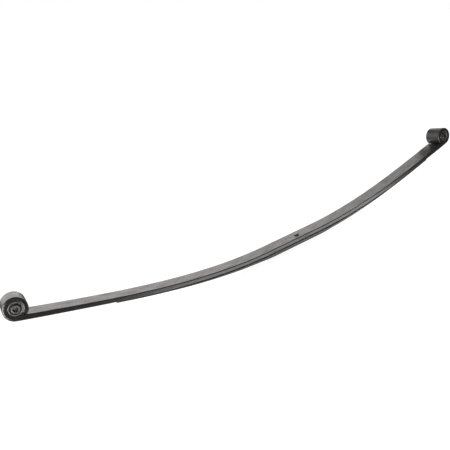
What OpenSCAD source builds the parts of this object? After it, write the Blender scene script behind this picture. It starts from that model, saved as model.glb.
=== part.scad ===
// Two-leaf taper spring for a light van's rear axle: a main leaf with two upturned rolled
// eyes, a tapered second leaf under it, a centre bolt, and a rubber bushing in each eye.
// The origin is on the centre bolt at the seat's top face, +X runs to the front eye, and
// +Z is up. A leaf bends along its whole length; here each leaf is a rigid seat length and
// two rigid arms, which turn about a round knuckle on the leaf's own middle plane.

/* [Leaves] */
// Width of both leaves
leaf_w = 60; // [50:1:75]
// Thickness of the main leaf
main_t = 13; // [10:0.5:14]
// Thickness of the second leaf at the seat
second_seat_t = 11.5; // [10:0.5:14]
// Thickness of the second leaf at its tips
second_tip_t = 1.5; // [1.5:0.5:4]
// Gap between the leaves outside the seat
leaf_gap = 0.4; // [0.3:0.1:1]

/* [Rear arm] */
// Length along the main leaf from the centre bolt to the rear eye
rear_len = 895; // [700:5:1000]
// Length of the flat seat behind the centre bolt
rear_seat = 118; // [60:1:140]
// Bend radius where the rear arm leaves the seat
rear_bend = 1410; // [1200:10:2500]
// Length along the second leaf from the centre bolt to its rear tip
rear_tip = 640; // [450:1:650]
// Thickness of the second leaf where its rear taper starts
rear_root_t = 9.5; // [6:0.5:10]

/* [Front arm] */
// Length along the main leaf from the centre bolt to the front eye
front_len = 750; // [700:5:1000]
// Length of the flat seat ahead of the centre bolt
front_seat = 76; // [60:1:140]
// Bend radius where the front arm leaves the seat
front_bend = 1510; // [1200:10:2500]
// Length along the second leaf from the centre bolt to its front tip
front_tip = 628; // [400:1:650]
// Thickness of the second leaf where its front taper starts
front_root_t = 9.5; // [6:0.5:10]

/* [Flexing] */
// Part of an arm's free length that stays with the seat, as in the usual three-link model
knuckle_share = 0.25; // [0.15:0.01:0.3]
// Radial clearance of a knuckle in its socket
knuckle_gap = 0.05; // [0.02:0.01:0.1]

/* [Eyes] */
// Outside radius of an eye
eye_r = 31.5; // [28:0.5:34]
// Drop of an eye's outside below the centre of its hole, where the leaf is thicker
eye_drop = 1.2; // [0:0.1:2]
// Radius of the hole rolled in an eye
eye_bore_r = 18; // [16:0.5:20]
// Angle round the eye, from straight outboard, at which the rolled end stops
roll_end = 209; // [200:1:212]

/* [Bushings] */
// Wall of the steel shell
shell_t = 2; // [1:0.5:3]
// Outside radius of the inner sleeve
sleeve_r = 10.5; // [9:0.5:12]
// Bore radius of the inner sleeve, for the shackle or hanger bolt
sleeve_bore_r = 7.1; // [6:0.1:8.2]
// Length of the inner sleeve
sleeve_len = 68; // [62:1:80]
// Depth of the hollow in each face of the rubber
rubber_dish = 3; // [1:0.5:5]

/* [Centre bolt] */
// Radius of the round head
head_r = 8.5; // [7.5:0.5:10]
// Height of the round head
head_h = 5; // [4:0.5:8]
// Radius of the shank
shank_r = 5; // [4:0.5:6]
// Width of the nut across its flats
nut_af = 17; // [15:1:19]
// Height of the nut
nut_h = 8; // [6:0.5:10]

/* [Hidden] */
$fn = 96;

paint = [0.19, 0.19, 0.2];
zinc = [0.62, 0.6, 0.55];
rubber = [0.09, 0.09, 0.09];

// An arm is its length, its share of the flat seat, its bend radius, and the second leaf's
// reach and thickness where its taper starts.
front = [front_len, front_seat, front_bend, front_tip, front_root_t];
rear = [rear_len, rear_seat, rear_bend, rear_tip, rear_root_t];

chord = 18;        // longest straight facet along a leaf
path_step = 5;     // step for adding up the curve
gap_run = 30;      // length over which the leaves part outside the seat
taper_run = 60;    // length over which the second leaf thins from the seat to its taper
eye_run = 180;     // length over which the main leaf thickens towards an eye
lip = 2;           // set-back of a socket's lips from the knuckle's axis
step = 0.1;        // drop from the leaf's faces to the knuckle's round
eye_step = 0.5;    // step from the leaf's top face up to the eye's hole
eye_lap = 0.3;     // depth by which the leaf laps under the eye's round
eye_inset = 0.3;   // set-back of an eye's faces from the leaf's edges
fit = 0.02;        // radial clearance of pressed and bonded bushing parts
running = 0.05;    // radial clearance of the sleeve in its rubber, and of the bolt in its nut
bolt_clear = 0.25; // radial clearance of the centre bolt in the leaves
spot_depth = 0.5;  // depth of the spot faces under the bolt's head and its nut
spot_margin = 0.6; // margin of a spot face round the head or the nut
neck = 0.5;        // step from the head's side in to the part of it sunk in the spot face
bevel = 1;         // bevel on the bolt's head and tail
bury = 2;          // overlap that joins an arm to its eye
root = 0.1;        // depth by which the slot under a rolled end sinks into the leaf below it
over = 1;          // overrun of a cutting shape past the face it cuts
eye_t = eye_r + eye_drop + eye_lap - eye_bore_r - eye_step;  // leaf thickness at an eye
stack_t = main_t + second_seat_t;

// Rises smoothly from 0 to 1 as x goes from 0 to 1.
function ease(x) = let (c = min(1, max(0, x))) c * c * (3 - 2 * c);

// Slope of the main leaf's top face: level over the seat, then bending up, with the bend
// fading to nothing at the eye.
function slope(arm, s) =
    let (u = min(max(0, s - arm[1]), arm[0] - arm[1]), free = arm[0] - arm[1])
    (u - u * u / (2 * free)) / arm[2] * 180 / PI;

// Point of the top face at arc length s from the centre bolt, as [x, z].
function top_point(arm, s) =
    let (n = ceil(s / path_step) + 1, a = [for (i = [0:n - 1]) slope(arm, (i + 0.5) * s / n)])
    s / n * [for (x = a) 1] * [for (x = a) [cos(x), sin(x)]];

// Point at a depth below the top face, square to it.
function under(arm, s, depth) =
    top_point(arm, s) + depth * [sin(slope(arm, s)), -cos(slope(arm, s))];

function main_low(arm, s) = main_t + (eye_t - main_t) * ease((s - arm[0] + eye_run) / eye_run);
function second_top(arm, s) = main_low(arm, s) + leaf_gap * ease((s - arm[1]) / gap_run);
function second_t(arm, s) =
    second_tip_t + (arm[4] - second_tip_t) * (arm[3] - s) / (arm[3] - arm[1])
    + (second_seat_t - arm[4]) * (1 - ease((s - arm[1]) / taper_run));
function second_low(arm, s) =
    s < arm[1] ? stack_t : second_top(arm, s) + second_t(arm, s);

// Where an arm's knuckle is, and its depths on the two leaves.
function knuckle_at(arm) = arm[1] + knuckle_share * (arm[0] - arm[1]);
function second_half_t(arm) = second_t(arm, knuckle_at(arm)) / 2;
function main_pivot(arm) = main_t / 2;
function second_pivot(arm) = second_top(arm, knuckle_at(arm)) + second_half_t(arm);

// A flat shape drawn in X and Z, given the leaf's width.
module across(width = leaf_w) {
    rotate([90, 0, 0]) linear_extrude(width, center = true) children();
}

// A round bar across the leaf, at a depth below the top face.
module bar(arm, s, depth, r, width = leaf_w) {
    p = under(arm, s, depth);
    translate([p[0], 0, p[1]]) rotate([90, 0, 0]) cylinder(r = r, h = width, center = true);
}

// A length of leaf from s0 to s1 between two depths that vary along the arm.
module strip(arm, s0, s1, high, low) {
    n = ceil((s1 - s0) / chord);
    stations = [for (i = [0:n]) s0 + (s1 - s0) * i / n];
    across() polygon(concat(
        [for (s = stations) under(arm, s, high(s))],
        [for (i = [n:-1:0]) under(arm, stations[i], low(stations[i]))]
    ));
}

// Half of a leaf's seat length, ending in the socket for that arm's knuckle.
module seat_half(arm, high, low, pivot, r) {
    difference() {
        union() {
            strip(arm, 0, arm[1], high, low);
            strip(arm, arm[1], knuckle_at(arm) - lip, high, low);
        }
        bar(arm, knuckle_at(arm), pivot, r + knuckle_gap, leaf_w + 2 * over);
    }
}

// The centre bolt's hole through both leaves, with a spot face under its head and its nut.
module bolt_hole() {
    translate([0, 0, -stack_t - over]) cylinder(r = shank_r + bolt_clear, h = stack_t + 2 * over);
    translate([0, 0, -spot_depth]) cylinder(r = head_r + spot_margin, h = spot_depth + over);
    translate([0, 0, -stack_t - over])
        cylinder(r = nut_af / 2 / cos(30) + spot_margin, h = spot_depth + over);
}

module main_half(arm) {
    seat_half(arm, function(s) 0, function(s) main_low(arm, s), main_pivot(arm), main_t / 2 - step);
}

module second_half(arm) {
    seat_half(arm, function(s) second_top(arm, s), function(s) second_low(arm, s),
        second_pivot(arm), second_half_t(arm) - step);
}

// The middle of the main leaf, clamped to the axle.
module main_leaf_seat() {
    color(paint) difference() {
        union() {
            main_half(front);
            mirror([1, 0, 0]) main_half(rear);
        }
        bolt_hole();
    }
}

// The middle of the second leaf, clamped under the main leaf.
module second_leaf_seat() {
    color(paint) difference() {
        union() {
            second_half(front);
            mirror([1, 0, 0]) second_half(rear);
        }
        bolt_hole();
    }
}

// Moves a shape drawn round the eye's axis, with X outboard along the leaf, to an arm's eye.
module at_eye(arm) {
    p = under(arm, arm[0], -eye_bore_r - eye_step);
    translate([p[0], 0, p[1]]) rotate([0, -slope(arm, arm[0]), 0]) children();
}

// The rolled eye: a ring that stops just short of the leaf it is rolled from.
module eye_ring() {
    reach = eye_r + over;
    end = [cos(roll_end), sin(roll_end)];
    leaf_top = -eye_bore_r - eye_step - root;
    difference() {
        translate([0, 0, -eye_drop]) rotate([90, 0, 0])
            cylinder(r = eye_r, h = leaf_w - 2 * eye_inset, center = true);
        across(leaf_w + 2 * over) polygon([
            [0, 0], reach * end, [-reach, reach * end[1]], [-reach, leaf_top], [0, leaf_top],
        ]);
    }
}

// An arm of the main leaf, from its knuckle to its eye.
module main_arm(arm) {
    color(paint) difference() {
        union() {
            strip(arm, knuckle_at(arm), arm[0] + bury, function(s) 0, function(s) main_low(arm, s));
            bar(arm, knuckle_at(arm), main_pivot(arm), main_t / 2 - step);
            at_eye(arm) eye_ring();
        }
        at_eye(arm) rotate([90, 0, 0]) cylinder(r = eye_bore_r, h = leaf_w + 2 * over, center = true);
    }
}

// An arm of the second leaf, from its knuckle to its tip.
module second_arm(arm) {
    color(paint) {
        strip(arm, knuckle_at(arm), arm[3],
            function(s) second_top(arm, s), function(s) second_low(arm, s));
        bar(arm, knuckle_at(arm), second_pivot(arm), second_half_t(arm) - step);
    }
}

module main_leaf_front() main_arm(front);
module main_leaf_rear() mirror([1, 0, 0]) main_arm(rear);
module second_leaf_front() second_arm(front);
module second_leaf_rear() mirror([1, 0, 0]) second_arm(rear);

// The centre bolt: its round head stands on the seat and finds the hole in the axle's pad.
module centre_bolt() {
    tail = stack_t + nut_h + 2;
    color(zinc) rotate_extrude() polygon([
        [0, -tail], [shank_r - bevel, -tail], [shank_r, bevel - tail], [shank_r, -spot_depth],
        [head_r - neck, -spot_depth], [head_r - neck, 0], [head_r, 0], [head_r, head_h - bevel],
        [head_r - bevel, head_h], [0, head_h],
    ]);
}

// The nut under the second leaf.
module centre_nut() {
    color(zinc) translate([0, 0, spot_depth - stack_t - nut_h]) difference() {
        cylinder(d = nut_af / cos(30), h = nut_h, $fn = 6);
        translate([0, 0, -over]) cylinder(r = shank_r + running, h = nut_h + 2 * over);
    }
}

// A round tube across the leaf, round the eye's axis.
module tube(outer, inner, width) {
    rotate([90, 0, 0]) difference() {
        cylinder(r = outer, h = width, center = true);
        cylinder(r = inner, h = width + 2 * over, center = true);
    }
}

// The steel shell pressed into an eye.
module shell(arm) {
    color(zinc) at_eye(arm) tube(eye_bore_r - fit, eye_bore_r - shell_t, leaf_w);
}

// The rubber between shell and sleeve, with a shallow hollow in each face.
module bush_rubber(arm) {
    outer = eye_bore_r - shell_t - fit;
    inner = sleeve_r + running;
    middle = (outer + inner) / 2;
    half = leaf_w / 2;
    color(rubber) at_eye(arm) rotate([90, 0, 0]) rotate_extrude() polygon([
        [inner, -half], [middle, rubber_dish - half], [outer, -half],
        [outer, half], [middle, half - rubber_dish], [inner, half],
    ]);
}

// The sleeve that is bolted to the hanger or the shackle, and twists in the rubber.
module sleeve(arm) {
    color(zinc) at_eye(arm) tube(sleeve_r, sleeve_bore_r, sleeve_len);
}

module front_bush_shell() shell(front);
module front_bush_rubber() bush_rubber(front);
module front_bush_sleeve() sleeve(front);
module rear_bush_shell() mirror([1, 0, 0]) shell(rear);
module rear_bush_rubber() mirror([1, 0, 0]) bush_rubber(rear);
module rear_bush_sleeve() mirror([1, 0, 0]) sleeve(rear);

main_leaf_seat();
main_leaf_front();
main_leaf_rear();
second_leaf_seat();
second_leaf_front();
second_leaf_rear();
centre_bolt();
centre_nut();
front_bush_shell();
front_bush_rubber();
front_bush_sleeve();
rear_bush_shell();
rear_bush_rubber();
rear_bush_sleeve();
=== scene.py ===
"""A two-leaf taper spring with a rubber bushing in each rolled eye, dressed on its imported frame.

Lengths are in millimetres here and turn into metres where a mesh is made. The origin is on
the centre bolt at the seat's top face, +X runs to the front eye, and +Z is up.
"""
import math

import bmesh
import bpy
from mathutils import Matrix, Vector, noise


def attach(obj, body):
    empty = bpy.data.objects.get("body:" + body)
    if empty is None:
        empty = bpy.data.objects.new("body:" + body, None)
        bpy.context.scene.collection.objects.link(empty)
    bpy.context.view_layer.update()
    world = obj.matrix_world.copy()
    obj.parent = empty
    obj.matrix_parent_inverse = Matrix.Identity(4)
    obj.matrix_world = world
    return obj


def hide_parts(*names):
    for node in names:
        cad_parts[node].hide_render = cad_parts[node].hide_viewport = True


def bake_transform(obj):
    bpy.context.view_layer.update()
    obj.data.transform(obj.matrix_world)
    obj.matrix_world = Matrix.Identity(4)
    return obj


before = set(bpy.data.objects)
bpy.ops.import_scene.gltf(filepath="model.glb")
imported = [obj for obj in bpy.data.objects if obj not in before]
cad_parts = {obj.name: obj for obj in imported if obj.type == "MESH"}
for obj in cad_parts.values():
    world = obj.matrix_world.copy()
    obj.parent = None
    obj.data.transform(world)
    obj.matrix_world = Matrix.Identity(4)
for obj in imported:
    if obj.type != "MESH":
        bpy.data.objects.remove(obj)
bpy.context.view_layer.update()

MM = 0.001

# Leaves
WIDTH = 60.0            # both leaves
MAIN_T = 13.0           # main leaf's thickness
SECOND_SEAT_T = 11.5    # second leaf's thickness at the seat
SECOND_TIP_T = 1.5      # and at its tips
LEAF_GAP = 0.4          # between the leaves outside the seat
GAP_RUN = 30.0          # length over which the gap opens
TAPER_RUN = 60.0        # length over which the second leaf thins from the seat to its taper
EYE_RUN = 180.0         # length over which the main leaf thickens towards an eye
RISE_RUN = 60.0         # length over which its top face rises to the eye's hole
CORNER = 2.6            # radius of a leaf's rolled corners
ROLL_DEEP = 5.6         # an eye's rolled corners, measured on its faces
ROLL_WIDE = 3.0         # and measured across the leaf
CORNER_SHARE = 0.42     # a corner's radius is at most this share of the thickness
LEAST_CORNER = 0.2      # and at least this
CORNER_STEPS = 6        # facets of a corner
CORNER_HOLD = 0.6       # distance from a corner to the extra loop that keeps it crisp
STATION = 8.0           # step between sections along a leaf
ROLL_STEP = 5.0         # step between sections round an eye, in degrees
END_BEVEL = 0.8         # rounding of a sheared end
END_CLEAR = 2.0         # gap from the last plain section to it, in degrees round an eye
BEND_END = 50.0         # distance from the eye to the end of a leaf's bending zone, worked out but not used to bend anything

# Eyes and bushings
EYE_R = 31.5            # radius of an eye's outside
EYE_DROP = 1.2          # drop of its outside below the centre of its hole
EYE_BORE_R = 18.0       # radius of its hole
EYE_STEP = 0.5          # rise from the leaf's top face to the eye's hole
ROLL_END = 209.0        # angle round the eye at which the roll ends, in degrees
EYE_T = EYE_R + EYE_DROP - EYE_BORE_R - EYE_STEP  # thickness of the leaf where the roll starts
SHELL_T = 2.0           # wall of the steel shell
SHELL_INSET = 0.5       # distance from the eye's face to the shell's end
SHELL_ROUND = 0.4       # rounding of the shell's rims
SLEEVE_R = 10.5         # radius of the inner sleeve
SLEEVE_BORE_R = 7.1     # and of its hole
SLEEVE_LEN = 68.0       # its length
SLEEVE_ROUND = 0.9      # and the rounding of its rims
RUBBER_DISH = 3.2       # depth of the hollow in each face of the rubber
RUBBER_LUMP = 0.5       # height of the lumps in it
FIT = 0.03              # clearance between the parts of a bushing
RIM = 1.0               # width of the worn rim of a shell or sleeve

# Centre bolt and nut
HEAD_R = 8.5            # radius of the bolt's head
HEAD_H = 5.0            # its height
HEAD_ROUND = 1.5        # and the rounding of its edge
SHANK_R = 5.0           # radius of the shank
PITCH = 1.5             # pitch of the thread
THREAD_DEPTH = 0.8      # and its depth
BOLT_TAIL = 34.5        # depth of the bolt's tail below the seat's top face
BOLT_AXIS_R = 0.02      # radius of the pin holes where the bolt's ends meet its axis
NUT_AF = 17.0           # width of the nut across its flats
NUT_H = 8.0             # its height
NUT_BEVEL = 0.9         # countersink at its hole
STACK_T = MAIN_T + SECOND_SEAT_T

SEGMENTS = 96           # facets round a turned part
RUBBER_SEGMENTS = 144   # and round the rubber, which is uneven
SMOOTH_LIMIT = math.radians(32)  # an edge that turns by more than this stays sharp


def ease(x):
    """Rises smoothly from 0 to 1 as x goes from 0 to 1."""
    c = min(1.0, max(0.0, x))
    return c * c * (3 - 2 * c)


class Arm:
    """One side of the spring, from the centre bolt to its eye."""

    def __init__(self, name, side, length, seat, bend, reach, root_t):
        self.name = name
        self.side = side
        self.length = length
        self.seat = seat
        self.bend = bend
        self.reach = reach
        self.root_t = root_t
        self.free = length - seat

    def slope(self, s):
        """Slope of the main leaf's top face, in radians."""
        u = min(max(0.0, s - self.seat), self.free)
        return (u - u * u / (2 * self.free)) / self.bend

    def top_point(self, s):
        """Point of the top face at arc length s, as (x, z)."""
        n = max(1, math.ceil(s / 4))
        angles = [self.slope((i + 0.5) * s / n) for i in range(n)]
        return s / n * sum(map(math.cos, angles)), s / n * sum(map(math.sin, angles))

    def main_low(self, s):
        """Depth of the main leaf's underside."""
        return MAIN_T + (EYE_T - MAIN_T) * ease((s - self.length + EYE_RUN) / EYE_RUN)

    def second_t(self, s):
        """Thickness of the second leaf."""
        if s < self.seat:
            return SECOND_SEAT_T
        taper = (self.root_t - SECOND_TIP_T) * (self.reach - s) / (self.reach - self.seat)
        shoulder = (SECOND_SEAT_T - self.root_t) * (1 - ease((s - self.seat) / TAPER_RUN))
        return SECOND_TIP_T + taper + shoulder

    def eye(self):
        """The eye's centre, as (x, z) before mirroring."""
        x, z = self.top_point(self.length)
        a = self.slope(self.length)
        rise = EYE_BORE_R + EYE_STEP
        return x - rise * math.sin(a), z + rise * math.cos(a)

    def at(self, x, across, z):
        """A point of this side of the spring, in metres."""
        return Vector((self.side * x * MM, across * MM, z * MM))


FRONT = Arm("front", 1, 750.0, 76.0, 1510.0, 628.0, 9.5)
REAR = Arm("rear", -1, 895.0, 118.0, 1410.0, 640.0, 9.5)


# Meshes

def finish_mesh(name, bm, attributes=None):
    """Makes the object of a bmesh, with the sharp edges kept and the attributes stored."""
    bmesh.ops.recalc_face_normals(bm, faces=bm.faces)
    for face in bm.faces:
        face.smooth = True
    for edge in bm.edges:
        if len(edge.link_faces) == 2:
            edge.smooth = edge.calc_face_angle(0.0) < SMOOTH_LIMIT
    mesh = bpy.data.meshes.new(name)
    bm.to_mesh(mesh)
    bm.free()
    for key, (kind, values) in (attributes or {}).items():
        field = "vector" if kind == "FLOAT_VECTOR" else "value"
        flat = [c for v in values for c in v] if kind == "FLOAT_VECTOR" else values
        mesh.attributes.new(key, kind, "POINT").data.foreach_set(field, flat)
    obj = bpy.data.objects.new(name, mesh)
    bpy.context.scene.collection.objects.link(obj)
    return obj


def section(high, low, half, deep, wide):
    """Points round a rounded rectangle, as (across, depth, wear); a corner is deep by wide."""
    points = []
    hold = min(CORNER_HOLD, (low - high - 2 * deep) / 4)
    corners = [(1, high + deep, -90), (1, low - deep, 0), (-1, low - deep, 90), (-1, high + deep, 180)]
    for sign, depth, start in corners:
        y = sign * (half - wide)
        angles = [math.radians(start + 90 * i / CORNER_STEPS) for i in range(CORNER_STEPS + 1)]
        arc = [(y + wide * math.cos(a), depth + deep * math.sin(a)) for a in angles]
        first, last = angles[0], angles[-1]
        points.append((arc[0][0] + hold * math.sin(first), arc[0][1] - hold * math.cos(first), 0.0))
        points += [(*p, math.sin(math.pi * (i + 1) / (CORNER_STEPS + 2))) for i, p in enumerate(arc)]
        points.append((arc[-1][0] - hold * math.sin(last), arc[-1][1] + hold * math.cos(last), 0.0))
        if start == 0:
            points += [(half * k, low, 0.0) for k in (0.5, 0.0, -0.5)]
        if start == 180:
            points += [(half * k, high, 0.0) for k in (-0.5, 0.0, 0.5)]
    return points


def corner_size(full, rolled, room, inset):
    """One radius of a corner, which turns from a leaf's into an eye's as rolled goes to 1."""
    return max(LEAST_CORNER, min(CORNER + (full - CORNER) * rolled, room) - inset)


def sweep(name, arm, stations, roll_from=math.inf):
    """A bar through the stations, each (origin, direction of depth, high, low, arc length, inset)."""
    bm = bmesh.new()
    rings = []
    places = []
    wear = []
    for origin, direction, high, low, s, inset in stations:
        rolled = ease((s - roll_from) / RISE_RUN)
        room = CORNER_SHARE * (low - high)
        deep = corner_size(ROLL_DEEP, rolled, room, inset)
        wide = corner_size(ROLL_WIDE, rolled, room, inset)
        ring = []
        for y, d, w in section(high + inset, low - inset, WIDTH / 2 - inset, deep, wide):
            x = origin[0] + d * direction[0]
            z = origin[1] + d * direction[1]
            ring.append(bm.verts.new(arm.at(x, y, z)))
            places.append((arm.side * s * MM, y * MM, d * MM))
            wear.append(1.0 if inset > 0 else w)
        rings.append(ring)
    for a, b in zip(rings, rings[1:]):
        for i in range(len(a)):
            j = (i + 1) % len(a)
            bm.faces.new((a[i], a[j], b[j], b[i]))
    bm.faces.new(rings[0])
    bm.faces.new(list(reversed(rings[-1])))
    return finish_mesh(name, bm, {"place": ("FLOAT_VECTOR", places), "wear": ("FLOAT", wear)})


def spread(start, end, step):
    """Evenly spaced values from start to end, at most step apart."""
    n = max(1, math.ceil(abs(end - start) / step))
    return [start + (end - start) * i / n for i in range(n + 1)]


def end_rounding(length):
    """Pairs (arc length, inset) that round a sheared end at that arc length."""
    angles = [math.radians(a) for a in (0, 30, 60, 90)]
    return [(length - END_BEVEL + END_BEVEL * math.sin(a), END_BEVEL * (1 - math.cos(a))) for a in angles]


def outer_reach(turn):
    """Distance from an eye's centre to its outside, which sits lower, at an angle in degrees."""
    along = -EYE_DROP * math.sin(math.radians(turn))
    return along + math.sqrt(along ** 2 - EYE_DROP ** 2 + EYE_R ** 2)


def main_half(arm):
    """Half of the main leaf, from the centre bolt through its rolled eye."""
    stations = []
    for s in spread(0.0, arm.length, STATION):
        a = arm.slope(s)
        high = -EYE_STEP * ease((s - arm.length + RISE_RUN) / RISE_RUN)
        stations.append((arm.top_point(s), (math.sin(a), -math.cos(a)), high, arm.main_low(s), s, 0.0))
    tilt = math.degrees(arm.slope(arm.length))
    middle_r = (EYE_R + EYE_BORE_R) / 2
    centre = arm.eye()
    last_turn = ROLL_END - math.degrees(END_BEVEL / middle_r) - END_CLEAR
    rolls = [(turn, 0.0) for turn in spread(-90.0, last_turn, ROLL_STEP)[1:]]
    full = math.radians(ROLL_END + 90) * middle_r
    rolls += [(math.degrees(r / middle_r) - 90, inset) for r, inset in end_rounding(full)]
    for turn, inset in rolls:
        a = math.radians(turn + tilt)
        s = arm.length + math.radians(turn + 90) * middle_r
        stations.append((centre, (math.cos(a), math.sin(a)), EYE_BORE_R, outer_reach(turn), s, inset))
    return sweep("main_leaf_" + arm.name + "_half", arm, stations, arm.length - RISE_RUN / 2)


def second_half(arm):
    """Half of the second leaf, from the centre bolt to its square tip."""
    lengths = [(s, 0.0) for s in spread(0.0, arm.reach - END_BEVEL - END_CLEAR, STATION)]
    stations = []
    for s, inset in lengths + end_rounding(arm.reach):
        a = arm.slope(s)
        high = arm.main_low(s) + LEAF_GAP * ease((s - arm.seat) / GAP_RUN)
        low = high + arm.second_t(s)
        shrink = min(inset, 0.4 * (low - high))
        stations.append((arm.top_point(s), (math.sin(a), -math.cos(a)), high, low, s, shrink))
    return sweep("second_leaf_" + arm.name + "_half", arm, stations)


def lathe(name, profile, place, wear, segments=SEGMENTS, closed=True, ripple=None):
    """Turns a profile of (radius, along) points round an axis; place makes a point of (u, v, along)."""
    bm = bmesh.new()
    rings = []
    rubbed = []
    for i in range(segments):
        a = 2 * math.pi * i / segments
        ring = []
        for r, along in profile:
            shift = ripple(a, r, along) if ripple else 0.0
            ring.append(bm.verts.new(place(r * math.cos(a), r * math.sin(a), along + shift)))
            rubbed.append(wear(r, along))
        rings.append(ring)
    n = len(profile)
    for i in range(segments):
        a, b = rings[i], rings[(i + 1) % segments]
        for j in range(n if closed else n - 1):
            k = (j + 1) % n
            bm.faces.new((a[j], a[k], b[k], b[j]))
    return finish_mesh(name, bm, {"wear": ("FLOAT", rubbed)})


def rounded(points, radius, steps=4):
    """A closed profile with its corners rounded."""
    out = []
    n = len(points)
    for i in range(n):
        before, here, after = (Vector(points[(i + k) % n]) for k in (-1, 0, 1))
        to_before = before - here
        to_after = after - here
        cut = min(radius, 0.45 * to_before.length, 0.45 * to_after.length)
        p0 = here + to_before.normalized() * cut
        p2 = here + to_after.normalized() * cut
        for k in range(steps + 1):
            t = k / steps
            out.append(tuple((1 - t) ** 2 * p0 + 2 * t * (1 - t) * here + t * t * p2))
    return out


def across_eye(arm):
    """Makes points round an eye's axis, which runs across the leaf."""
    x0, z0 = arm.eye()
    return lambda u, v, along: arm.at(x0 + u, along, z0 + v)


def tube_profile(outer, inner, length, radius):
    """The wall of a tube, with its rims rounded."""
    half = length / 2
    return rounded([(inner, -half), (outer, -half), (outer, half), (inner, half)], radius)


def rubber_walls():
    """The inner and outer radius of the rubber."""
    return SLEEVE_R + FIT, EYE_BORE_R - SHELL_T - FIT


def rubber_profile():
    """The rubber's ring: a lip at the shell, a hollow, and a collar at the sleeve, in each face."""
    inner, outer = rubber_walls()
    half = WIDTH / 2
    lip = [(outer, half - 1.2), (outer - 0.9, half - 1.4)]
    hollow = [(outer - 1.7, half - RUBBER_DISH + 0.3), (inner + 1.9, half - RUBBER_DISH)]
    collar = [(inner + 1.0, half - 0.9), (inner + 0.5, half - 0.3), (inner, half - 0.3)]
    face = lip + hollow + collar
    return face + [(r, -along) for r, along in reversed(face)]


def rubber_ripple(a, r, along):
    """Uneven moulding of the rubber's faces, nothing at the bonded walls."""
    inner, outer = rubber_walls()
    u = min(1, max(0, (r - inner) / (outer - inner)))
    lumps = noise.noise(Vector((2.4 * math.cos(a), 2.4 * math.sin(a), along))) + 0.6 * math.cos(9 * a)
    return -math.copysign(RUBBER_LUMP * abs(lumps) * math.sin(math.pi * u), along)


def rubber_wear(r, along):
    """1 on the lip next to the shell, 0 in the hollow."""
    return ease((r - EYE_BORE_R + SHELL_T + 2.2) / 2) * ease(abs(along) - WIDTH / 2 + 3)


def rim_wear(length):
    """1 on the rims of a tube of this length, 0 inside them."""
    return lambda r, along: ease((abs(along) - length / 2 + RIM) / RIM)


def hexagon_reach(a):
    """Distance from a nut's axis to its side, in the direction a."""
    turn = math.radians(60)
    return NUT_AF / 2 / math.cos((a % turn) - turn / 2)


def nut_mesh():
    """A hexagon nut with its corners chamfered and its hole countersunk, under the second leaf."""
    bm = bmesh.new()
    top = 0.5 - STACK_T
    bottom = top - NUT_H
    face_r = 0.955 * NUT_AF / 2
    steepness = math.tan(math.radians(30))
    hole_r = SHANK_R + 0.05
    sink_r = SHANK_R + NUT_BEVEL
    rings = []
    for i in range(SEGMENTS):
        a = 2 * math.pi * i / SEGMENTS
        reach = hexagon_reach(a)
        fall = (reach - face_r) * steepness
        upper = [(hole_r, top - NUT_BEVEL), (sink_r, top), (face_r, top), (reach, top - fall)]
        lower = [(reach, bottom + fall), (face_r, bottom), (sink_r, bottom), (hole_r, bottom + NUT_BEVEL)]
        points = [Vector((r * math.cos(a), r * math.sin(a), z)) * MM for r, z in upper + lower]
        rings.append([bm.verts.new(point) for point in points])
    for i in range(SEGMENTS):
        a, b = rings[i], rings[(i + 1) % SEGMENTS]
        for j in range(len(a)):
            k = (j + 1) % len(a)
            bm.faces.new((a[j], a[k], b[k], b[j]))
    return finish_mesh("centre_nut_detail", bm)


def bolt_wear(r, along):
    """1 on the head's rounded edge, 0 elsewhere."""
    return ease((r - HEAD_R + 2) / 1.5) * ease((along - HEAD_H + 3) / 1.5)


def on_bolt_axis(u, v, along):
    """A point round the bolt's axis, in metres."""
    return Vector((u, v, along)) * MM


def bolt_mesh():
    """The centre bolt: a round chamfered head above, a thread below the nut."""
    edge_r = HEAD_R - HEAD_ROUND
    edge_z = HEAD_H - 0.12
    crest_r = SHANK_R - 0.05
    profile = [(BOLT_AXIS_R, HEAD_H - 0.25), (HEAD_R * 0.55, HEAD_H - 0.1), (edge_r, edge_z)]
    for a in (0.4, 0.8, 1.2, math.pi / 2):
        profile.append((edge_r + HEAD_ROUND * math.sin(a), edge_z - HEAD_ROUND * (1 - math.cos(a))))
    profile += [(HEAD_R, 0.45), (HEAD_R - 0.25, 0.2), (HEAD_R - 0.6, -0.1), (SHANK_R, -0.3)]
    z = -STACK_T + 1.0
    profile.append((SHANK_R, z))
    while z > -BOLT_TAIL + 2 * PITCH:
        profile.append((crest_r, z - 0.1 * PITCH))
        profile.append((SHANK_R - THREAD_DEPTH, z - 0.5 * PITCH))
        profile.append((crest_r, z - 0.9 * PITCH))
        z -= PITCH
    profile += [(SHANK_R - 0.3, -BOLT_TAIL + 1.4), (SHANK_R - 1.4, -BOLT_TAIL), (BOLT_AXIS_R, -BOLT_TAIL)]
    return lathe("centre_bolt_detail", profile, on_bolt_axis, bolt_wear, closed=False)


# Materials

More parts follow.
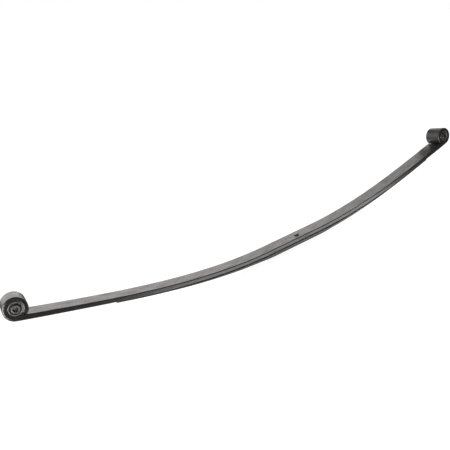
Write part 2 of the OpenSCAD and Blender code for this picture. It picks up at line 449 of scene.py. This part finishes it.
class Surface:
    """A procedural material under construction."""

    def __init__(self, name):
        self.material = bpy.data.materials.new(name)
        self.material.use_nodes = True
        self.tree = self.material.node_tree
        self.tree.nodes.clear()
        self.shader = self.add("ShaderNodeBsdfPrincipled")
        output = self.add("ShaderNodeOutputMaterial")
        self.join(self.shader.outputs["BSDF"], output.inputs["Surface"])

    def add(self, kind, **settings):
        """Adds a node and sets its options."""
        node = self.tree.nodes.new(kind)
        for key, value in settings.items():
            setattr(node, key, value)
        return node

    def join(self, a, b):
        """Links an output to an input."""
        self.tree.links.new(a, b)

    def feed(self, socket, value):
        """Links a socket, or sets a number or a colour."""
        if isinstance(value, bpy.types.NodeSocket):
            self.join(value, socket)
        else:
            socket.default_value = value

    def coordinates(self):
        """Positions in the object, in metres."""
        return self.add("ShaderNodeTexCoord").outputs["Object"]

    def place(self):
        """Positions along, across and through a leaf as if it were straight, in metres."""
        return self.add("ShaderNodeAttribute", attribute_name="place").outputs["Vector"]

    def wear(self):
        """How far a spot lies out on an edge, from 0 to 1."""
        return self.add("ShaderNodeAttribute", attribute_name="wear").outputs["Fac"]

    def stretch(self, vector, scale):
        """Scales positions, so that what follows is drawn out."""
        node = self.add("ShaderNodeMapping")
        self.join(vector, node.inputs["Vector"])
        node.inputs["Scale"].default_value = scale
        return node.outputs["Vector"]

    def noise(self, vector, scale, detail, roughness):
        """Fractal noise, about 0.3 to 0.7."""
        node = self.add("ShaderNodeTexNoise")
        self.join(vector, node.inputs["Vector"])
        node.inputs["Scale"].default_value = scale
        node.inputs["Detail"].default_value = detail
        node.inputs["Roughness"].default_value = roughness
        return node.outputs["Fac"]

    def remap(self, value, low, high, to_low=0.0, to_high=1.0):
        """Maps low..high smoothly to another range."""
        node = self.add("ShaderNodeMapRange", interpolation_type="SMOOTHSTEP")
        self.join(value, node.inputs["Value"])
        for key, number in (("From Min", low), ("From Max", high), ("To Min", to_low), ("To Max", to_high)):
            node.inputs[key].default_value = number
        return node.outputs["Result"]

    def math(self, operation, a, b=0.0):
        """Works out a sum; one with a single term leaves b as it is."""
        node = self.add("ShaderNodeMath", operation=operation)
        self.feed(node.inputs[0], a)
        self.feed(node.inputs[1], b)
        return node.outputs["Value"]

    def blend(self, factor, a, b):
        """Mixes two colours."""
        node = self.add("ShaderNodeMix", data_type="RGBA")
        self.feed(node.inputs["Factor"], factor)
        self.feed(node.inputs["A"], a)
        self.feed(node.inputs["B"], b)
        return node.outputs["Result"]

    def bump(self, height, distance, strength, under=None):
        """A bumped normal, on top of another one if there is one."""
        node = self.add("ShaderNodeBump")
        node.inputs["Distance"].default_value = distance
        node.inputs["Strength"].default_value = strength
        self.join(height, node.inputs["Height"])
        if under is not None:
            self.join(under, node.inputs["Normal"])
        return node.outputs["Normal"]

    def facing_up(self, low, high):
        """1 where the surface faces up, 0 where it faces sideways or down."""
        split = self.add("ShaderNodeSeparateXYZ")
        self.join(self.add("ShaderNodeNewGeometry").outputs["Normal"], split.inputs["Vector"])
        return self.remap(split.outputs["Z"], low, high)


def grey(value, warmth=0.0):
    """A grey colour, redder and less blue by the warmth."""
    return (value * (1 + warmth), value, value * (1 - warmth), 1.0)


def shaded(colour, share):
    """The colour made darker or lighter."""
    return (*(share * c for c in colour[:3]), 1.0)


def leaf_paint():
    """Satin black chassis paint on forged steel: orange peel, streaks, rubbed edges and a little dust."""
    m = Surface("leaf_paint")
    place = m.place()
    along = m.stretch(place, (0.12, 1.0, 1.0))
    mottle = m.noise(place, 45.0, 4.0, 0.6)
    streaks = m.noise(along, 160.0, 3.0, 0.6)
    specks = m.noise(place, 420.0, 3.0, 0.6)
    peel = m.noise(place, 850.0, 2.0, 0.5)
    paint = m.blend(m.remap(mottle, 0.35, 0.7), grey(0.010, 0.03), grey(0.018, 0.05))
    dust = m.math("MULTIPLY", m.remap(streaks, 0.45, 0.75, 0.0, 0.5), m.facing_up(0.2, 0.9))
    dusty = m.blend(dust, paint, grey(0.06, 0.06))
    chips = m.math("MULTIPLY", m.remap(m.wear(), 0.55, 1.0), m.remap(specks, 0.57, 0.66))
    scratches = m.remap(m.noise(along, 700.0, 2.0, 0.7), 0.66, 0.74)
    scuffs = m.math("MULTIPLY", scratches, m.remap(mottle, 0.5, 0.68))
    bare = m.math("MAXIMUM", chips, m.math("MULTIPLY", scuffs, 0.45))
    m.feed(m.shader.inputs["Base Color"], m.blend(bare, dusty, grey(0.16, 0.05)))
    gloss = m.remap(streaks, 0.3, 0.75, 0.24, 0.44)
    m.feed(m.shader.inputs["Roughness"], m.math("ADD", gloss, m.math("MULTIPLY", dust, 0.2)))
    m.feed(m.shader.inputs["Metallic"], m.math("MULTIPLY", bare, 0.6))
    rough = m.bump(m.noise(place, 190.0, 3.0, 0.6), 0.0006, 0.5, m.bump(mottle, 0.0016, 0.45))
    fine = m.bump(peel, 0.00025, 0.35, rough)
    m.feed(m.shader.inputs["Normal"], m.bump(specks, 0.0002, 0.3, fine))
    return m.material


def steel(name, base, patina, low, high):
    """Dull steel with brown patches, fine grain and rubbed rims."""
    m = Surface(name)
    place = m.coordinates()
    patches = m.noise(place, 130.0, 5.0, 0.65)
    grain = m.noise(place, 900.0, 3.0, 0.6)
    rust = m.remap(patches, low, high)
    tone = m.blend(m.remap(grain, 0.35, 0.7), base, shaded(base, 0.75))
    rubbed = m.math("MULTIPLY", m.wear(), m.remap(grain, 0.35, 0.6, 0.25, 0.8))
    bright = shaded(base, 1.7)
    m.feed(m.shader.inputs["Base Color"], m.blend(rubbed, m.blend(rust, tone, patina), bright))
    m.feed(m.shader.inputs["Metallic"], m.remap(patches, low, high, 0.9, 0.25))
    m.feed(m.shader.inputs["Roughness"], m.remap(grain, 0.3, 0.75, 0.34, 0.58))
    m.feed(m.shader.inputs["Normal"], m.bump(grain, 0.0002, 0.5, m.bump(patches, 0.0006, 0.4)))
    return m.material


def rubber():
    """Black natural rubber, dulled by bloom and dust."""
    m = Surface("bush_rubber")
    place = m.coordinates()
    bloom = m.noise(place, 210.0, 4.0, 0.65)
    grain = m.noise(place, 1300.0, 2.0, 0.5)
    black = m.blend(m.remap(bloom, 0.4, 0.68), grey(0.012, 0.1), grey(0.045, 0.25))
    dusty = m.math("MULTIPLY", m.wear(), m.remap(bloom, 0.3, 0.6, 0.3, 1.0))
    m.feed(m.shader.inputs["Base Color"], m.blend(dusty, black, grey(0.12, 0.02)))
    m.feed(m.shader.inputs["Roughness"], m.remap(bloom, 0.3, 0.7, 0.5, 0.8))
    m.feed(m.shader.inputs["Normal"], m.bump(grain, 0.0003, 0.5, m.bump(bloom, 0.0008, 0.5)))
    return m.material


def dress(obj, material):
    """Gives a piece its material."""
    obj.data.materials.append(material)


def bend_with(obj, arm):
    """Bakes a leaf half's transform into its mesh; the points at the seat's edge and just short of the eye
    are worked out but not used.
    """
    x0, z0 = arm.top_point(arm.seat)
    x1, z1 = arm.top_point(arm.length - BEND_END)
    arm.at(x0, 0, z0)
    arm.at(x1, 0, z1)
    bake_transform(obj)


# The spring

def build_leaves(paint):
    """The leaves, as halves that meet at the centre bolt; the front ones stand for the seat too."""
    for arm in (FRONT, REAR):
        for make, leaf in ((main_half, "main"), (second_half, "second")):
            half = make(arm)
            dress(half, paint)
            bend_with(half, arm)
            seat_node = [leaf + "_leaf_seat"] if arm is FRONT else []
            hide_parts(leaf + "_leaf_" + arm.name, *seat_node)


def build_bushing(arm, shell_steel, sleeve_steel, black):
    """The shell, the rubber and the sleeve in one eye."""
    place = across_eye(arm)
    shell_len = WIDTH - 2 * SHELL_INSET
    shell_profile = tube_profile(EYE_BORE_R - FIT, EYE_BORE_R - SHELL_T, shell_len, SHELL_ROUND)
    sleeve_profile = tube_profile(SLEEVE_R, SLEEVE_BORE_R, SLEEVE_LEN, SLEEVE_ROUND)
    shell = lathe(arm.name + "_shell", shell_profile, place, rim_wear(WIDTH))
    filling = lathe(
        arm.name + "_rubber", rubber_profile(), place, rubber_wear, RUBBER_SEGMENTS, ripple=rubber_ripple
    )
    sleeve = lathe(arm.name + "_sleeve", sleeve_profile, place, rim_wear(SLEEVE_LEN))
    dress(shell, shell_steel)
    dress(filling, black)
    dress(sleeve, sleeve_steel)
    for obj, node, body in (
        (shell, "_bush_shell", "main_" + arm.name),
        (filling, "_bush_rubber", "main_" + arm.name),
        (sleeve, "_bush_sleeve", arm.name + "_sleeve"),
    ):
        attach(obj, body)
        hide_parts(arm.name + node)


def build_bolt(dark_steel):
    """The centre bolt and its nut."""
    for obj, node in ((bolt_mesh(), "centre_bolt"), (nut_mesh(), "centre_nut")):
        dress(obj, dark_steel)
        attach(obj, "seat")
        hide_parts(node)


# The studio, in metres

CAMERA_AT = (-0.8742, -1.3176, 0.5889)
CAMERA_AIM = (-0.24485, 0.0, 0.13139)
CAMERA_ROLL = math.radians(-15.46)
CAMERA_LENS = 40.0        # focal length, in millimetres
SENSOR = 36.0             # width of the sensor, in millimetres
WALL = 1.95               # brightness of the white walls round the set
WALL_TINT = (1.0, 0.985, 0.97, 1.0)
FRONT_SHARE = 0.12        # share of that left in the dark room behind the camera
FRONT_EDGE = (-0.35, 0.1)  # Y of a direction where the dark room ends and where the walls are full
CEILING = 0.35            # brightness of the ceiling
CEILING_EDGE = (0.58, 0.74)  # Z of a direction where the walls end and where the ceiling is full
FLOOR_TONE = 0.3          # how light the floor is
FLOOR_GLOW = 0.92         # light that it gives off by itself
TABLE_GLOW = 12.0         # brightness of the floor next to the spring, as its gloss sees it
TABLE_FADE = 0.13         # distance over which that falls off
TABLE_HALF = 0.4          # half the length of the bright strip
TABLE_SHADE = (0.055, 0.085)  # the spring's shade fades between these distances from the strip
TABLE_DARK = 0.08         # brightness far out, and share of the brightness left in the shade
TABLE_LIFT = 0.0005       # height of the light table above the floor


def make_camera():
    """The camera, where the photographer stood."""
    data = bpy.data.cameras.new("camera")
    data.lens = CAMERA_LENS
    data.sensor_width = SENSOR
    camera = bpy.data.objects.new("camera", data)
    bpy.context.scene.collection.objects.link(camera)
    forward = Vector(CAMERA_AIM) - Vector(CAMERA_AT)
    turn = forward.to_track_quat("-Z", "Y").to_matrix().to_4x4()
    camera.matrix_world = Matrix.Translation(CAMERA_AT) @ turn @ Matrix.Rotation(CAMERA_ROLL, 4, "Z")
    bpy.context.scene.camera = camera


def plane(name, half):
    """A flat square on the floor's level, not part of the object."""
    bm = bmesh.new()
    bmesh.ops.create_grid(bm, x_segments=4, y_segments=4, size=half)
    obj = finish_mesh(name, bm)
    obj.location.z = -BOLT_TAIL * MM
    return obj


def glowing(name, tone, strength, sheen=0.0):
    """A matt surface that gives off white light."""
    m = Surface(name)
    m.feed(m.shader.inputs["Base Color"], grey(tone))
    m.feed(m.shader.inputs["Roughness"], 0.9)
    m.feed(m.shader.inputs["Specular IOR Level"], sheen)
    m.feed(m.shader.inputs["Emission Color"], grey(1.0))
    m.feed(m.shader.inputs["Emission Strength"], strength)
    return m


def make_floor():
    """A plain white floor that lights itself, so that a shadow hardly shows on it."""
    floor = plane("floor", 30.0)
    floor.data.materials.append(glowing("floor", FLOOR_TONE, FLOOR_GLOW, sheen=0.1).material)


def make_light_table():
    """What the gloss sees of the floor: bright round the spring, shaded under it, dark further out."""
    m = glowing("light_table", 0.0, 0.0)
    split = m.add("ShaderNodeSeparateXYZ")
    m.join(m.coordinates(), split.inputs["Vector"])
    past_end = m.math("SUBTRACT", m.math("ABSOLUTE", split.outputs["X"]), TABLE_HALF)
    along = m.math("POWER", m.math("MAXIMUM", past_end, 0.0), 2.0)
    across = m.math("POWER", m.math("ABSOLUTE", split.outputs["Y"]), 2.0)
    away = m.math("SQRT", m.math("ADD", along, across))
    fall = m.math("EXPONENT", m.math("MULTIPLY", away, -1 / TABLE_FADE))
    shade = m.remap(away, *TABLE_SHADE, TABLE_DARK, 1.0)
    glow = m.math("MULTIPLY", m.math("MULTIPLY", fall, TABLE_GLOW), shade)
    m.feed(m.shader.inputs["Emission Strength"], m.math("ADD", glow, TABLE_DARK))
    table = plane("light_table", 6.0)
    table.location.z += TABLE_LIFT
    table.data.materials.append(m.material)
    only_gloss(table)


def only_gloss(obj):
    """The object shows in gloss alone: it neither lights the scene nor stands in the picture."""
    obj.visible_camera = False
    obj.visible_diffuse = False
    obj.visible_shadow = False
    obj.visible_transmission = False


def make_card(name, at, turn, width, height, glow):
    """An upright card that only gloss sees, turned about Z; one with no glow is a black flag."""
    card = plane(name, 0.5)
    card.scale = (width, height, 1.0)
    card.rotation_euler = (math.radians(90), 0.0, math.radians(turn))
    card.location = at
    card.data.materials.append(glowing(name, 0.0, glow).material)
    only_gloss(card)


def make_world():
    """White walls, a dim ceiling and a dark room behind the camera, before a plain white backdrop."""
    world = bpy.data.worlds.new("studio")
    bpy.context.scene.world = world
    world.use_nodes = True
    tree = world.node_tree
    tree.nodes.clear()

    def remap(value, edge, to_low, to_high):
        """Maps a direction's part smoothly from one brightness to another across an edge."""
        node = tree.nodes.new("ShaderNodeMapRange")
        node.interpolation_type = "SMOOTHSTEP"
        tree.links.new(value, node.inputs["Value"])
        for key, number in zip(("From Min", "From Max", "To Min", "To Max"), (*edge, to_low, to_high)):
            node.inputs[key].default_value = number
        return node.outputs["Result"]

    place = tree.nodes.new("ShaderNodeTexCoord")
    split = tree.nodes.new("ShaderNodeSeparateXYZ")
    tree.links.new(place.outputs["Generated"], split.inputs["Vector"])
    strength = tree.nodes.new("ShaderNodeMath")
    strength.operation = "MULTIPLY"
    tree.links.new(remap(split.outputs["Z"], CEILING_EDGE, WALL, CEILING), strength.inputs[0])
    tree.links.new(remap(split.outputs["Y"], FRONT_EDGE, FRONT_SHARE, 1.0), strength.inputs[1])
    room = tree.nodes.new("ShaderNodeBackground")
    room.inputs["Color"].default_value = WALL_TINT
    tree.links.new(strength.outputs["Value"], room.inputs["Strength"])
    backdrop = tree.nodes.new("ShaderNodeBackground")
    backdrop.inputs["Color"].default_value = (1.0, 1.0, 1.0, 1.0)
    seen = tree.nodes.new("ShaderNodeLightPath")
    pick = tree.nodes.new("ShaderNodeMixShader")
    tree.links.new(seen.outputs["Is Camera Ray"], pick.inputs["Fac"])
    tree.links.new(room.outputs["Background"], pick.inputs[1])
    tree.links.new(backdrop.outputs["Background"], pick.inputs[2])
    output = tree.nodes.new("ShaderNodeOutputWorld")
    tree.links.new(pick.outputs["Shader"], output.inputs["Surface"])


def make_studio():
    """Camera, floor and light. The cards light the eyes' rims, and the flag darkens the far eye."""
    make_camera()
    make_floor()
    make_world()
    make_light_table()
    make_card("rear_card", at=(-1.05, -0.21, 0.11), turn=90.0, width=0.3, height=0.28, glow=11.0)
    make_card("front_card", at=(0.46, -0.32, 0.0), turn=-39.0, width=0.24, height=0.065, glow=30.0)
    make_card("front_flag", at=(0.725, 0.07, 0.160), turn=90.0, width=0.08, height=0.07, glow=0.0)
    bpy.context.scene.view_settings.view_transform = "Standard"


def main():
    """Builds every piece, and then the studio."""
    shell_steel = steel("shell_steel", grey(0.22), (0.06, 0.052, 0.04, 1.0), 0.5, 0.68)
    sleeve_steel = steel("sleeve_steel", grey(0.12, 0.06), (0.035, 0.022, 0.014, 1.0), 0.4, 0.6)
    dark_steel = steel("bolt_steel", grey(0.22), (0.03, 0.027, 0.024, 1.0), 0.45, 0.65)
    black = rubber()
    build_leaves(leaf_paint())
    for arm in (FRONT, REAR):
        build_bushing(arm, shell_steel, sleeve_steel, black)
    build_bolt(dark_steel)
    make_studio()


main()
